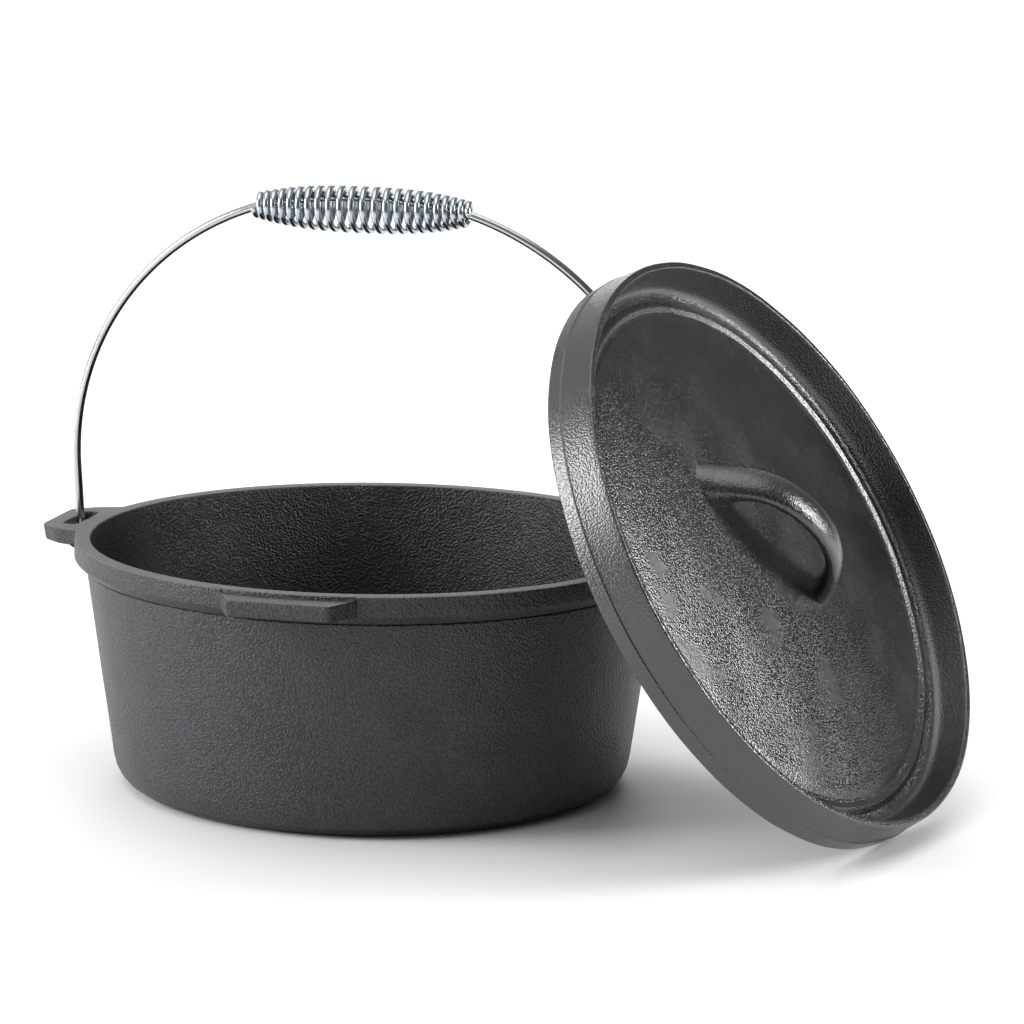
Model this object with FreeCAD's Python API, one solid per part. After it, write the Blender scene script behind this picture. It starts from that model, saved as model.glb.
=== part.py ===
import FreeCAD, Part
import math
import os

# Cast iron camp oven: a pot with two lifting ears and one small side tab, a
# flanged lid with a loop handle leaning beside it, a wire bail and its spring grip.
# Millimetres. Origin at the centre of the pot's flat underside, +Z up, +X through
# the right-hand ear. The lid and bail are drawn where they stand at rest.
V = FreeCAD.Vector
os.makedirs("parts", exist_ok=True)

# ---- pot, one casting -------------------------------------------------------
pot_height = 128.0        # underside to the ground rim
rim_radius = 155.0        # outside of the rim band
rim_land = 8.2            # flat ground top of the rim, measured along the radius
band_height = 10.0        # plain outer band under the rim
band_chamfer = 4.2        # height of the slope under the band
band_step = 4.8           # how far that slope runs in
groove_height = 1.4       # small relief between the slope and the wall
groove_depth = 1.0
base_radius = 133.0       # wall line continued down to the table
base_corner = 17.4        # outside radius between wall and floor
wall = 4.1                # side wall, measured level
floor_thickness = 5.0

# ---- ears, cast on the pot at +X and -X ---------------------------------------
ear_reach = 20.0          # beyond the rim band
ear_thickness = 8.5
ear_root_half = 34.0      # half widths along the rim, at the root, middle and tip
ear_mid_half = 30.0
ear_tip_half = 21.0
ear_corners = (8.0, 14.0, 5.0)   # outline radii at the root, middle and tip
slot_from_rim = 2.0       # rim band to the slot's inner side
slot_width = 8.5          # along the radius
slot_half = 18.5          # half length along the rim
slot_corner = 4.0
gusset_drop = 8.0         # fairing under ear and tab, down the wall
ear_gusset_run = 3.0      # and outward past the rim band
lug_waist = 0.5           # where the middle half width is taken, as a share of the reach
lug_bury = 1.0            # lug root inside the band

# ---- side tab at -Y --------------------------------------------------------------
tab_reach = 15.0
tab_thickness = 8.3
tab_below_rim = 1.8       # tab top sits lower than the ground rim
tab_root_half = 34.0
tab_mid_half = 29.6
tab_tip_half = 26.0
tab_corners = (5.0, 20.0, 3.0)
tab_gusset_run = 1.0

# ---- bail, one bent wire ----------------------------------------------------------
bail_wire = 4.3           # wire diameter
ear_gap = 0.35            # wire under the ear's outer bar
bail_bend = 5.0           # centre-line radius where each leg turns outward
leg_from_slot = 4.0       # slot's inner side to the leg's centre line
tip_short = 0.8           # leg tip inside the ear's outer edge
bail_height = 192.0       # pivot line to the wire's centre at the crown
crown_radius = 235.0      # flat arc under the grip
crown_half = 50.0
crown_bend = 40.0         # tighter bend just inside the ends of the grip
shoulder_slope = 16.4     # degrees from level where the shoulder arc starts
bail_lean = 8.0           # degrees, toward -Y, where it rests beside the lid
bail_swing = 52.0         # degrees either side of upright, stopped by the slot ends

# ---- grip, one close barrel-wound spring ------------------------------------------
grip_length = 116.0       # overall
grip_wire = 3.2
grip_mid_radius = 10.7    # coil centre line at the middle
grip_end_radius = 5.0     # coil centre line at the ends
grip_turns = 23.0
grip_below_crown = 6.4    # grip axis under the wire's crown
barrel_power = 2.6        # fullness of the barrel outline
end_tightness = 0.25      # turns lie closer together near both ends
points_per_turn = 12      # for the coil's curve

# ---- lid, one casting ---------------------------------------------------------------
lid_overhang = 0.3        # lid edge beyond the rim band
lid_height = 25.3         # seat to the top of the flange
lip_width = 3.5
flange_draft = 1.6        # outside of the flange leans in by this at the lip
seam_height = 7.8         # casting seam above the seat
seam_ridge = 0.4
seam_half = 0.5           # half height of the seam's ridge
upper_step = 0.5          # flange above the seam stands in from the seat edge
lower_draft = 0.3         # flange below the seam leans in by this
dish_wall_lean = 3.2      # inside of the flange leans in by this at its foot
dish_fillet = 6.0
dish_floor = 6.6          # seat to the dish just inside the flange
plate = 4.0               # thickness of the domed plate
crown_top = 16.0          # seat to the top of the dome
dome_radius = 128.6       # plan radius of the dome's edge
dome_edge = 8.6           # seat to the dome's edge
ring_drop = 1.6           # step down outside the dome
ring_groove = 3.4         # plan width of the groove
ring_bead = 5.0           # plan width of the bead outside it
ring_bead_height = 1.3
seat_gap = 1.5            # locating ring inside the pot's mouth
seat_ring = 4.0           # width of the locating ring
seat_ring_drop = 1.0

# ---- loop handle, cast on the lid ------------------------------------------------------
loop_top = 43.0           # seat to the centre of the bar at the crown
loop_crown = 60.0         # arch radius over the crown
loop_shoulder = 40.0      # arch radius down to the feet
loop_crown_half = 14.0    # where one turns into the other
loop_off = (-4.5, 2.0)    # loop's middle from the lid's middle
loop_foot_sunk = 2.6      # bar ends inside the plate
# Bar sections: arch angle, section tilt, half thickness, half width. The first foot
# spreads into a long oval pad; the last runs almost straight into the plate.
loop_sections = [
    (-74.0, -90.0, 15.2, 12.6),
    (-69.0, -82.0, 10.6, 12.1),
    (-60.0, -68.0, 7.6, 11.4),
    (-48.0, -50.0, 5.8, 10.8),
    (-32.0, -32.0, 5.0, 10.4),
    (-14.0, -14.0, 4.9, 10.3),
    (4.0, 4.0, 4.9, 10.2),
    (22.0, 22.0, 4.9, 9.9),
    (40.0, 40.0, 4.9, 9.3),
    (56.0, 60.0, 5.0, 8.5),
    (67.0, 80.0, 5.6, 7.9),
    (74.0, 90.0, 6.6, 7.8),
]

# ---- where the lid leans ------------------------------------------------------------------
lid_lean = 30.4           # degrees, handle axis above level
lid_bearing = -15.5       # degrees, the way the handle points, seen from above
lid_side = 24.6           # lid centre to the side of that line
lid_gap = 1.0             # lid to the nearest pass of the bail
handle_turn = 37.0        # degrees, handle about the lid's own axis


def rounded(points):
    """Closed outline in the XZ plane from (x, z, corner radius) points."""
    count = len(points)
    ends = []
    arcs = []
    for k in range(count):
        x, z, radius = points[k]
        here = V(x, 0, z)
        back = V(points[k - 1][0], 0, points[k - 1][1]) - here
        ahead = V(points[(k + 1) % count][0], 0, points[(k + 1) % count][1]) - here
        if radius <= 0:
            ends.append((here, here))
            arcs.append(None)
            continue
        back.normalize()
        ahead.normalize()
        half = back.getAngle(ahead) / 2
        reach = radius / math.tan(half)
        start = here + back * reach
        stop = here + ahead * reach
        middle = back + ahead
        middle.normalize()
        centre = here + middle * (radius / math.sin(half))
        ends.append((start, stop))
        arcs.append(Part.Arc(start, centre - middle * radius, stop).toShape())
    edges = []
    for k in range(count):
        if arcs[k] is not None:
            edges.append(arcs[k])
        start = ends[k][1]
        stop = ends[(k + 1) % count][0]
        if (stop - start).Length > 1e-6:
            edges.append(Part.makeLine(start, stop))
    return Part.Wire(Part.__sortEdges__(edges))


def turned(points):
    """Solid of revolution about Z from an XZ outline."""
    return Part.Face(rounded(points)).revolve(V(0, 0, 0), V(0, 0, 1), 360)


def plate_from(points, top, thickness):
    """Flat plate, its outline given in plan, its top face at the given height."""
    wire = rounded(points)
    wire.rotate(V(0, 0, 0), V(1, 0, 0), -90)
    face = Part.Face(wire)
    face.translate(V(0, 0, top - thickness - face.BoundBox.ZMin))
    return face.extrude(V(0, 0, thickness))


def lug(reach, root_half, mid_half, tip_half, corners, top, thickness):
    """Ear or tab plate: wide at the rim, narrowing to a rounded tip."""
    tip = rim_radius + reach
    waist = rim_radius + reach * lug_waist
    root = rim_radius - lug_bury
    buried = root - band_step
    outline = [
        (buried, -root_half - 2 * lug_bury, 0),
        (root, -root_half, corners[0]),
        (waist, -mid_half, corners[1]),
        (tip, -tip_half, corners[2]),
        (tip, tip_half, corners[2]),
        (waist, mid_half, corners[1]),
        (root, root_half, corners[0]),
        (buried, root_half + 2 * lug_bury, 0),
    ]
    return plate_from(outline, top, thickness)


def gusset(half, under, run):
    """Concave web under a lug, turned about the pot's axis, faired into band and wall."""
    inner = rim_radius - band_step - wall * 0.5
    outer = rim_radius + run
    low = under - gusset_drop
    buried = under + band_height * 0.2
    shoulder = V(outer, 0, under)
    foot = V(inner, 0, low)
    middle = V(inner + (outer - inner) * 0.36, 0, under - gusset_drop * 0.36)
    edges = [
        Part.makeLine(V(inner, 0, buried), V(outer, 0, buried)),
        Part.makeLine(V(outer, 0, buried), shoulder),
        Part.Arc(shoulder, middle, foot).toShape(),
        Part.makeLine(foot, V(inner, 0, buried)),
    ]
    angle = math.degrees(math.asin(half / rim_radius))
    web = Part.Face(Part.Wire(edges)).revolve(V(0, 0, 0), V(0, 0, 1), 2 * angle)
    web.rotate(V(0, 0, 0), V(0, 0, 1), -angle)
    return web


def quarter_turned(shape, degrees):
    copy = shape.copy()
    copy.rotate(V(0, 0, 0), V(0, 0, 1), degrees)
    return copy


# ---- build the pot ---------------------------------------------------------------
draft = (rim_radius - rim_land - (base_radius - wall)) / pot_height
shoulder_z = pot_height - band_height - band_chamfer
shoulder_r = rim_radius - band_step
wall_top = shoulder_z - groove_height
wall_top_r = base_radius + draft * wall_top
pot_outline = [
    (0, 0, 0),
    (base_radius, 0, base_corner),
    (wall_top_r, wall_top, 0.4),
    (wall_top_r - groove_depth, wall_top + groove_height * 0.5, 0.3),
    (shoulder_r, shoulder_z, 0.6),
    (rim_radius, pot_height - band_height, 1.2),
    (rim_radius, pot_height, 1.0),
    (rim_radius - rim_land, pot_height, 1.2),
    (base_radius - wall + draft * floor_thickness, floor_thickness, base_corner - wall),
    (0, floor_thickness, 0),
]
pot = turned(pot_outline)
cavity = turned([
    (0, floor_thickness, 0),
    (base_radius - wall + draft * floor_thickness, floor_thickness, base_corner - wall),
    (rim_radius - rim_land, pot_height, 0),
    (rim_radius - rim_land, pot_height + 20, 0),
    (0, pot_height + 20, 0),
])

slot_in = rim_radius + slot_from_rim
slot_out = slot_in + slot_width
slot_cut = plate_from([
    (slot_in, -slot_half, slot_corner),
    (slot_out, -slot_half, slot_corner),
    (slot_out, slot_half, slot_corner),
    (slot_in, slot_half, slot_corner),
], pot_height + 5.0, ear_thickness + 10.0)
ear = lug(ear_reach, ear_root_half, ear_mid_half, ear_tip_half, ear_corners,
          pot_height, ear_thickness)
ear = ear.fuse(gusset(ear_tip_half, pot_height - ear_thickness, ear_gusset_run)).cut(slot_cut)
tab_top = pot_height - tab_below_rim
tab = lug(tab_reach, tab_root_half, tab_mid_half, tab_tip_half, tab_corners,
          tab_top, tab_thickness)
tab = tab.fuse(gusset(tab_tip_half, tab_top - tab_thickness, tab_gusset_run))
for piece in (ear, quarter_turned(ear, 180), quarter_turned(tab, 270)):
    pot = pot.fuse(piece.cut(cavity))
pot = pot.removeSplitter()
pot = pot.Solids[0] if len(pot.Solids) == 1 else pot
pot.exportStep("parts/pot.step")

# ---- build the bail ------------------------------------------------------------------
pivot_z = pot_height - ear_thickness - ear_gap - bail_wire / 2
leg_x = slot_in + leg_from_slot
tip_x = rim_radius + ear_reach - tip_short
slope = math.radians(shoulder_slope)
crown_angle = math.asin(crown_half / crown_radius)
bend_x = crown_half + crown_bend * (math.sin(slope) - math.sin(crown_angle))
crown_drop = crown_radius * (1 - math.cos(crown_angle))
bend_drop = crown_drop + crown_bend * (math.cos(crown_angle) - math.cos(slope))
shoulder = (leg_x - bend_x) / (1 - math.sin(slope))
shoulder_x = leg_x - shoulder
shoulder_up = bail_height - bend_drop - shoulder * math.cos(slope)


def on_shoulder(angle):
    return V(shoulder_x + shoulder * math.sin(angle), 0,
             shoulder_up + shoulder * math.cos(angle))


def on_bend(angle):
    side = crown_half + crown_bend * (math.sin(angle) - math.sin(crown_angle))
    drop = crown_drop + crown_bend * (math.cos(crown_angle) - math.cos(angle))
    return V(side, 0, bail_height - drop)


def mirrored(point):
    return V(-point.x, 0, point.z)


crown_end = V(crown_half, 0, bail_height - crown_drop)
quarter = (math.pi / 2 + slope) / 2
leg_low = V(leg_x, 0, bail_bend)
turn_mid = V(leg_x + bail_bend * (1 - math.cos(math.pi / 4)), 0,
             bail_bend * (1 - math.sin(math.pi / 4)))
turn_end = V(leg_x + bail_bend, 0, 0)
tip = V(tip_x, 0, 0)
right = [
    Part.makeLine(tip, turn_end),
    Part.Arc(turn_end, turn_mid, leg_low).toShape(),
    Part.makeLine(leg_low, on_shoulder(math.pi / 2)),
    Part.Arc(on_shoulder(math.pi / 2), on_shoulder(quarter), on_shoulder(slope)).toShape(),
    Part.Arc(on_bend(slope), on_bend((slope + crown_angle) / 2), crown_end).toShape(),
]
crown = Part.Arc(crown_end, V(0, 0, bail_height), mirrored(crown_end)).toShape()
left = [
    Part.Arc(mirrored(crown_end), mirrored(on_bend((slope + crown_angle) / 2)),
             mirrored(on_bend(slope))).toShape(),
    Part.Arc(mirrored(on_shoulder(slope)), mirrored(on_shoulder(quarter)),
             mirrored(on_shoulder(math.pi / 2))).toShape(),
    Part.makeLine(mirrored(on_shoulder(math.pi / 2)), mirrored(leg_low)),
    Part.Arc(mirrored(leg_low), mirrored(turn_mid), mirrored(turn_end)).toShape(),
    Part.makeLine(mirrored(turn_end), mirrored(tip)),
]
bail_path = Part.Wire(right + [crown] + left)
bail_section = Part.Wire(Part.makeCircle(bail_wire / 2, tip, V(-1, 0, 0)))
bail = bail_path.makePipeShell([bail_section], True, True)


def placed_on_pivot(shape):
    shape.rotate(V(0, 0, 0), V(1, 0, 0), bail_lean)
    shape.translate(V(0, 0, pivot_z))
    return shape


bail = placed_on_pivot(bail)
bail.exportStep("parts/bail.step")

# ---- build the spring grip ----------------------------------------------------------------
grip_half = grip_length / 2 - grip_wire / 2


def coil_point(u):
    """Point on the coil's centre line, u running from -1 at one end to 1 at the other."""
    full = 1 - abs(u) ** barrel_power
    radius = grip_end_radius + (grip_mid_radius - grip_end_radius) * full
    turn = (u + end_tightness * u ** 3) / (1 + end_tightness)
    angle = math.pi * grip_turns * turn
    return V(grip_half * u, radius * math.cos(angle), radius * math.sin(angle))


steps = int(grip_turns * points_per_turn)
coil_points = [coil_point(-1 + 2 * k / steps) for k in range(steps + 1)]
coil_curve = Part.BSplineCurve()
coil_curve.interpolate(coil_points)
coil_edge = coil_curve.toShape()
coil_start = coil_curve.tangent(coil_curve.FirstParameter)[0]
coil_section = Part.Wire(Part.makeCircle(grip_wire / 2, coil_points[0], coil_start))
grip = Part.Wire(coil_edge).makePipeShell([coil_section], True, True)
grip.translate(V(0, 0, bail_height - grip_below_crown))
grip = placed_on_pivot(grip)
grip.exportStep("parts/spring_grip.step")

# ---- build the lid, first lying flat on its seat -----------------------------------------------
lid_radius = rim_radius + lid_overhang
lip_out = lid_radius - upper_step - flange_draft
lip_in = lip_out - lip_width
dish_foot = lip_in - dish_wall_lean
groove_in = dome_radius + ring_drop
groove_out = groove_in + ring_groove
bead_out = groove_out + ring_bead
groove_z = dome_edge - ring_drop
bead_z = groove_z + ring_bead_height
ring_out = rim_radius - rim_land - seat_gap
ring_in = ring_out - seat_ring
dome_sphere = (dome_radius ** 2 + (crown_top - dome_edge) ** 2) / (2 * (crown_top - dome_edge))
under_sphere = dome_sphere - plate


def under_plate(radius):
    """Height of the plate's underside above the seat at a plan radius."""
    drop = under_sphere - math.sqrt(under_sphere ** 2 - radius ** 2)
    return crown_top - plate - drop


lid = turned([
    (0, under_plate(ring_in), 0),
    (ring_in, under_plate(ring_in), 0.8),
    (ring_in, -seat_ring_drop, 0.8),
    (ring_out, -seat_ring_drop, 0.8),
    (ring_out, 0, 0.5),
    (lid_radius, 0, 1.0),
    (lid_radius - lower_draft, seam_height - seam_half, 0),
    (lid_radius - lower_draft + seam_ridge, seam_height, 0),
    (lid_radius - upper_step, seam_height + seam_half, 0),
    (lip_out, lid_height, 1.2),
    (lip_in, lid_height, 1.0),
    (dish_foot, dish_floor, dish_fillet),
    (bead_out + 1.0, dish_floor, 0.6),
    (bead_out - ring_bead * 0.45, bead_z, 1.2),
    (groove_out, groove_z, 0.6),
    (groove_in, groove_z, 0.4),
    (dome_radius, dome_edge, 0.4),
    (0, dome_edge, 0),
])
dome_cut = Part.makeSphere(dome_sphere, V(0, 0, crown_top - dome_sphere))
slab = Part.makeCylinder(dome_radius, 20.0, V(0, 0, dome_edge))
lid = lid.fuse(slab.common(dome_cut))
hollow_height = under_plate(0) - under_plate(ring_in) + 1.0
hollow = Part.makeCylinder(ring_in, hollow_height, V(0, 0, under_plate(ring_in) - 1.0 + 1e-3))
hollow = hollow.common(Part.makeSphere(under_sphere, V(0, 0, crown_top - dome_sphere)))
lid = lid.cut(hollow)

# ---- loop handle: oval sections lofted along the arch, into the plate -----------------------------
arch_angle = math.asin(loop_crown_half / loop_crown)
arch_low = loop_top - loop_crown * (1 - math.cos(arch_angle))
foot_angle = math.radians(loop_sections[-1][0])
foot_fall = loop_shoulder * (math.cos(arch_angle) - math.cos(foot_angle))
foot_z = crown_top - plate + loop_foot_sunk * 0.3


def on_arch(angle):
    """Centre of the bar where the arch has turned this far from the crown."""
    size = abs(angle)
    if size <= arch_angle:
        x = loop_crown * math.sin(size)
        z = loop_top - loop_crown * (1 - math.cos(size))
    else:
        x = loop_crown_half + loop_shoulder * (math.sin(size) - math.sin(arch_angle))
        fall = loop_shoulder * (math.cos(arch_angle) - math.cos(size))
        z = arch_low - fall * (arch_low - foot_z) / foot_fall
    return V(math.copysign(x, angle), 0, z)


def bar_oval(angle, tilt, thick, wide):
    """Closed oval of the bar, square to the tilt, as a smooth curve through 24 points."""
    centre = on_arch(math.radians(angle)) + V(loop_off[0], loop_off[1], 0)
    outward = V(math.sin(math.radians(tilt)), 0, math.cos(math.radians(tilt)))
    points = []
    for k in range(24):
        turn = 2 * math.pi * k / 24
        points.append(centre + outward * (thick * math.cos(turn)) + V(0, wide * math.sin(turn), 0))
    curve = Part.BSplineCurve()
    curve.interpolate(points, PeriodicFlag=True)
    return Part.Wire(curve.toShape())


loop = Part.makeLoft([bar_oval(*row) for row in loop_sections], True)
lid = lid.fuse(loop)
lid = lid.Solids[0] if len(lid.Solids) == 1 else lid

# ---- lean the lid beside the bail, its edge on the table -------------------------------------------------
lean = math.radians(lid_lean)
bearing = math.radians(lid_bearing)
normal = V(math.cos(lean) * math.cos(bearing), math.cos(lean) * math.sin(bearing), math.sin(lean))
across = V(-math.sin(bearing), math.cos(bearing), 0)
forward = V(math.cos(bearing), math.sin(bearing), 0)
centre_z = lid_radius * math.cos(lean)


def lid_centre(offset):
    """Centre of the lid's seat when its seat plane stands this far along the normal."""
    level = (offset - normal.z * centre_z) / math.cos(lean)
    point = forward * level + across * lid_side
    point.z = centre_z
    return point


def bail_points():
    """Points along the right half of the bail's centre line, for every swing angle."""
    line = [on_shoulder(slope + (math.pi / 2 - slope) * k / 40) for k in range(41)]
    points = []
    for step in range(-14, 15):
        swing = math.radians(bail_swing * step / 14)
        for p in line:
            points.append(V(p.x, -p.z * math.sin(swing), pivot_z + p.z * math.cos(swing)))
    return points


def underside(radius):
    """Lowest part of the lid's underside at a plan radius, above the seat plane."""
    if radius < ring_in - bail_wire / 2:
        return under_plate(radius)
    if radius < ring_out + bail_wire / 2:
        return -seat_ring_drop
    return 0.0


# The lid stands as close as the bail's full swing allows.
swept = bail_points()
offset = rim_radius * 1.5
for attempt in range(12):
    seat = lid_centre(offset)
    room = 100.0
    for p in swept:
        away = (p - seat).dot(normal)
        radius = (p - seat - normal * away).Length
        if radius < lid_radius + bail_wire / 2:
            room = min(room, underside(radius) - away - bail_wire / 2)
    offset += lid_gap - room
centre = lid_centre(offset)
lid.rotate(V(0, 0, 0), V(0, 0, 1), handle_turn)
lid.rotate(V(0, 0, 0), V(0, 1, 0), 90 - lid_lean)
lid.rotate(V(0, 0, 0), V(0, 0, 1), lid_bearing)
lid.translate(centre)
lid.exportStep("parts/lid.step")
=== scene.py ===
import math

import bpy
import numpy as np
from mathutils import Matrix, Vector


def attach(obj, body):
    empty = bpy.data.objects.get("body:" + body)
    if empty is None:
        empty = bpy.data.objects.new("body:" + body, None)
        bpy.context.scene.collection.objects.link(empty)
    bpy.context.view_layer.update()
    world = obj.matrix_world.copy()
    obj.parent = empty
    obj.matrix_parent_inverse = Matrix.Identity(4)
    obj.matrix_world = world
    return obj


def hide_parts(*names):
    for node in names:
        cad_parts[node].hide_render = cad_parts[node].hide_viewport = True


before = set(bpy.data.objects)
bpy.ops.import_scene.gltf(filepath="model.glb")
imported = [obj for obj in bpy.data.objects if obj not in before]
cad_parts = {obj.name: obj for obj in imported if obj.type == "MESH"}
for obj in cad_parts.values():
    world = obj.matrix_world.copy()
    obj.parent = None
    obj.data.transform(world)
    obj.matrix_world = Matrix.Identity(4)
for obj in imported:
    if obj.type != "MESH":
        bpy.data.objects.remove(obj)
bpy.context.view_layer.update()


# ---- The pot ------------------------------------------------------------------------
# One sand casting in grey iron: a drafted wall on a rounded base, a thick band round
# the rim, two slotted ears on the bail's line and one plain tab in front.
# The rim's top is ground flat; everything else keeps the grain of the mould.
pot_height = 0.128
rim_radius = 0.155
rim_land = 0.0082
band_height = 0.010
band_chamfer = 0.0042
band_step = 0.0048
groove_height = 0.0014
groove_depth = 0.0010
base_radius = 0.133
base_corner = 0.0174
wall = 0.0041
floor_thickness = 0.005
ear_reach = 0.020
ear_thickness = 0.0085
ear_halves = (0.034, 0.030, 0.021)
ear_corners = (0.008, 0.014, 0.005)
ear_taper = 0.0012
tab_reach = 0.015
tab_thickness = 0.0083
tab_below_rim = 0.0018
tab_halves = (0.034, 0.0296, 0.026)
tab_corners = (0.005, 0.020, 0.003)
slot_from_rim = 0.002
slot_width = 0.0085
slot_half = 0.0185
slot_corner = 0.004
slot_ease = 0.0009
slot_flare = 1.6
edge_ease = 0.0011
mouth_ease = 0.0012
lug_blend = 0.004
under_turn = (0.0024, 0.0021)           # fillet under the plain band: in from the rim, and down
web_turn_in = (0.0022, 0.0006)          # under a lug: in from the rim, and out again on an ear
web_run = (0.0008, 0.0022, 0.0046)      # fillet's outer end: in on the band, out on tab and ear
band_round = (0.0002, 0.0009, 0.0004)   # band's lower edge: in, down, and down at the fillet
land_step = (0.0013, 0.0002, 0.0005)    # step to the rim's land: in on the rim, out on the tab, slope
casting_swell = 0.0004
grid_step = 0.0052
lug_span = 13
fine_turn = 0.25
coarse_turn = 1.6
pot_dark = (0.025, 0.0262, 0.0292)
pot_light = (0.038, 0.040, 0.044)
# How dark the painted shade in the sand grain's pits is.
painted_pit_shade = 0.45
ground_iron = (0.11, 0.11, 0.115, 1)
ground_rough = 0.62
# Colour painted inside the pot as the shade there.
painted_inside_shade = (0.009, 0.0095, 0.0105, 1)


def eased_line(corners, steps=8):
    """Points of an outline given as (a, b, radius) corners: each corner becomes an arc that leaves
    one side and meets the next at radius / tan(half the angle between them) from the corner."""
    corners = np.array(corners, float)
    here = corners[:, :2]
    ahead = np.roll(here, -1, 0) - here
    back = np.roll(here, 1, 0) - here
    ahead /= np.linalg.norm(ahead, axis=1)[:, None]
    back /= np.linalg.norm(back, axis=1)[:, None]
    half = np.arccos(np.clip((ahead * back).sum(1), -1, 1)) / 2
    reach = corners[:, 2] / np.tan(np.clip(half, 0.05, 3))
    t = np.linspace(0, 1, steps)[None, :, None]
    start = (here + back * reach[:, None])[:, None]
    stop = (here + ahead * reach[:, None])[:, None]
    middle = here[:, None]
    arc = (1 - t) ** 2 * start + 2 * t * (1 - t) * middle + t ** 2 * stop
    return [a if r > 0 else a[:1] for a, r in zip(arc, corners[:, 2])]


def filled_line(corners, gap, steps=8, closed=False):
    """The eased outline with its straight runs divided so that no step is longer than gap."""
    arcs = eased_line(corners, steps)
    line = []
    for k, arc in enumerate(arcs):
        line.append(arc)
        if k + 1 == len(arcs) and not closed:
            break
        ahead = arcs[(k + 1) % len(arcs)][0]
        length = np.linalg.norm(ahead - arc[-1])
        count = int(length / gap)
        t = np.linspace(0, 1, count + 2)[1:-1, None]
        line.append(arc[-1] + (ahead - arc[-1]) * t)
    line = np.vstack(line)
    keep = np.r_[True, np.linalg.norm(np.diff(line, axis=0), axis=1) > 1e-7]
    return line[keep]


def skin_mesh(name, rings, first, last):
    """A closed mesh over an array of rings (ring, place round it, xyz). Each ring closes on itself, and
    first and last are the points that close the two ends with a fan. Where the sum of a . (b x c) over
    the quads' triangles is negative the faces point inward, and all are turned round."""
    count, around = rings.shape[:2]
    points = np.vstack([rings.reshape(-1, 3), first, last])
    index = np.arange(count * around).reshape(count, around)
    beside = np.roll(index, -1, axis=1)
    quads = np.stack([index[:-1], beside[:-1], beside[1:], index[1:]], -1).reshape(-1, 4)
    first_fan = np.stack([beside[0], index[0], np.full(around, len(points) - 2)], -1)
    last_fan = np.stack([index[-1], beside[-1], np.full(around, len(points) - 1)], -1)
    faces = quads.tolist() + first_fan.tolist() + last_fan.tolist()
    a, b, c, d = (points[quads[:, k]] for k in range(4))
    volume = (a * np.cross(b, c)).sum() + (a * np.cross(c, d)).sum()
    if volume < 0:
        faces = [face[::-1] for face in faces]
    mesh = bpy.data.meshes.new(name)
    mesh.from_pydata(points.tolist(), [], faces)
    mesh.validate()
    piece = bpy.data.objects.new(name, mesh)
    bpy.context.scene.collection.objects.link(piece)
    return piece


def settled(piece, sharp=32):
    """Applies a piece's modifiers and shades it smooth, with edges sharper than an angle left crisp."""
    bpy.context.view_layer.update()
    shown = piece.evaluated_get(bpy.context.evaluated_depsgraph_get())
    mesh = bpy.data.meshes.new_from_object(shown)
    piece.modifiers.clear()
    piece.data = mesh
    mesh.shade_smooth()
    mesh.set_sharp_from_angle(angle=math.radians(sharp))
    return piece


def cast_swell(points, size, seed):
    """Unevenness of a casting: the sum of six sine waves in fixed random directions, each between
    25 and 80 mm long, scaled so that the whole stays within size."""
    draw = np.random.default_rng(seed)
    heading = draw.normal(size=(6, 3))
    heading /= np.linalg.norm(heading, axis=1)[:, None]
    length = draw.uniform(0.025, 0.080, 6)
    phase = draw.uniform(0, 2 * math.pi, 6)
    waves = np.sin(points @ (heading / length[:, None]).T * 2 * math.pi + phase)
    return size * waves.sum(-1) / 6


def lug_reach(bearing, centre, reach, halves, corners):
    """Distance from the pot's axis to a lug's edge along each bearing: the lug's plan outline, read
    off as radius against angle. Zero where the bearing misses the lug."""
    root, mid, tip = halves
    buried = rim_radius - band_step - 0.001
    right = [(buried, root + 0.002, 0), (rim_radius - 0.001, root, corners[0]),
             (rim_radius + reach * 0.5, mid, corners[1]), (rim_radius + reach, tip, corners[2])]
    left = [(x, -y, r) for x, y, r in right]
    outline = filled_line(left + right[::-1], 0.0008)
    angle = np.arctan2(outline[:, 1], outline[:, 0])
    turn = (bearing - centre + math.pi) % (2 * math.pi) - math.pi
    return np.interp(turn, angle, np.hypot(outline[:, 0], outline[:, 1]), left=0, right=0)


def pot_bearings():
    """Bearings round the pot, a quarter turn repeated four times: fine steps across the span of an ear
    or a tab, coarse steps between."""
    fine = np.arange(-lug_span, lug_span, fine_turn)
    coarse = np.arange(lug_span, 90 - lug_span, coarse_turn)
    quarter = np.r_[fine, coarse]
    return np.radians(np.r_[quarter, quarter + 90, quarter + 180, quarter + 270])


bearing = pot_bearings()
ear_edge = np.maximum(lug_reach(bearing, 0, ear_reach, ear_halves, ear_corners),
                      lug_reach(bearing, math.pi, ear_reach, ear_halves, ear_corners))
tab_edge = lug_reach(bearing, -math.pi / 2, tab_reach, tab_halves, tab_corners)
outer_edge = np.maximum(rim_radius, np.maximum(ear_edge, tab_edge))


def ramp(value, low, high):
    """Smooth 0 to 1 as value goes from low to high."""
    t = np.clip((value - low) / (high - low), 0, 1)
    return t * t * (3 - 2 * t)


on_ear = ramp(ear_edge, rim_radius, rim_radius + lug_blend)
on_tab = ramp(tab_edge, rim_radius, rim_radius + lug_blend)
on_lug = np.maximum(on_ear, on_tab)

draft = (rim_radius - rim_land - (base_radius - wall)) / pot_height
shoulder_z = pot_height - band_height - band_chamfer
shoulder_r = rim_radius - band_step
wall_top = shoulder_z - groove_height
wall_top_r = base_radius + draft * wall_top


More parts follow.
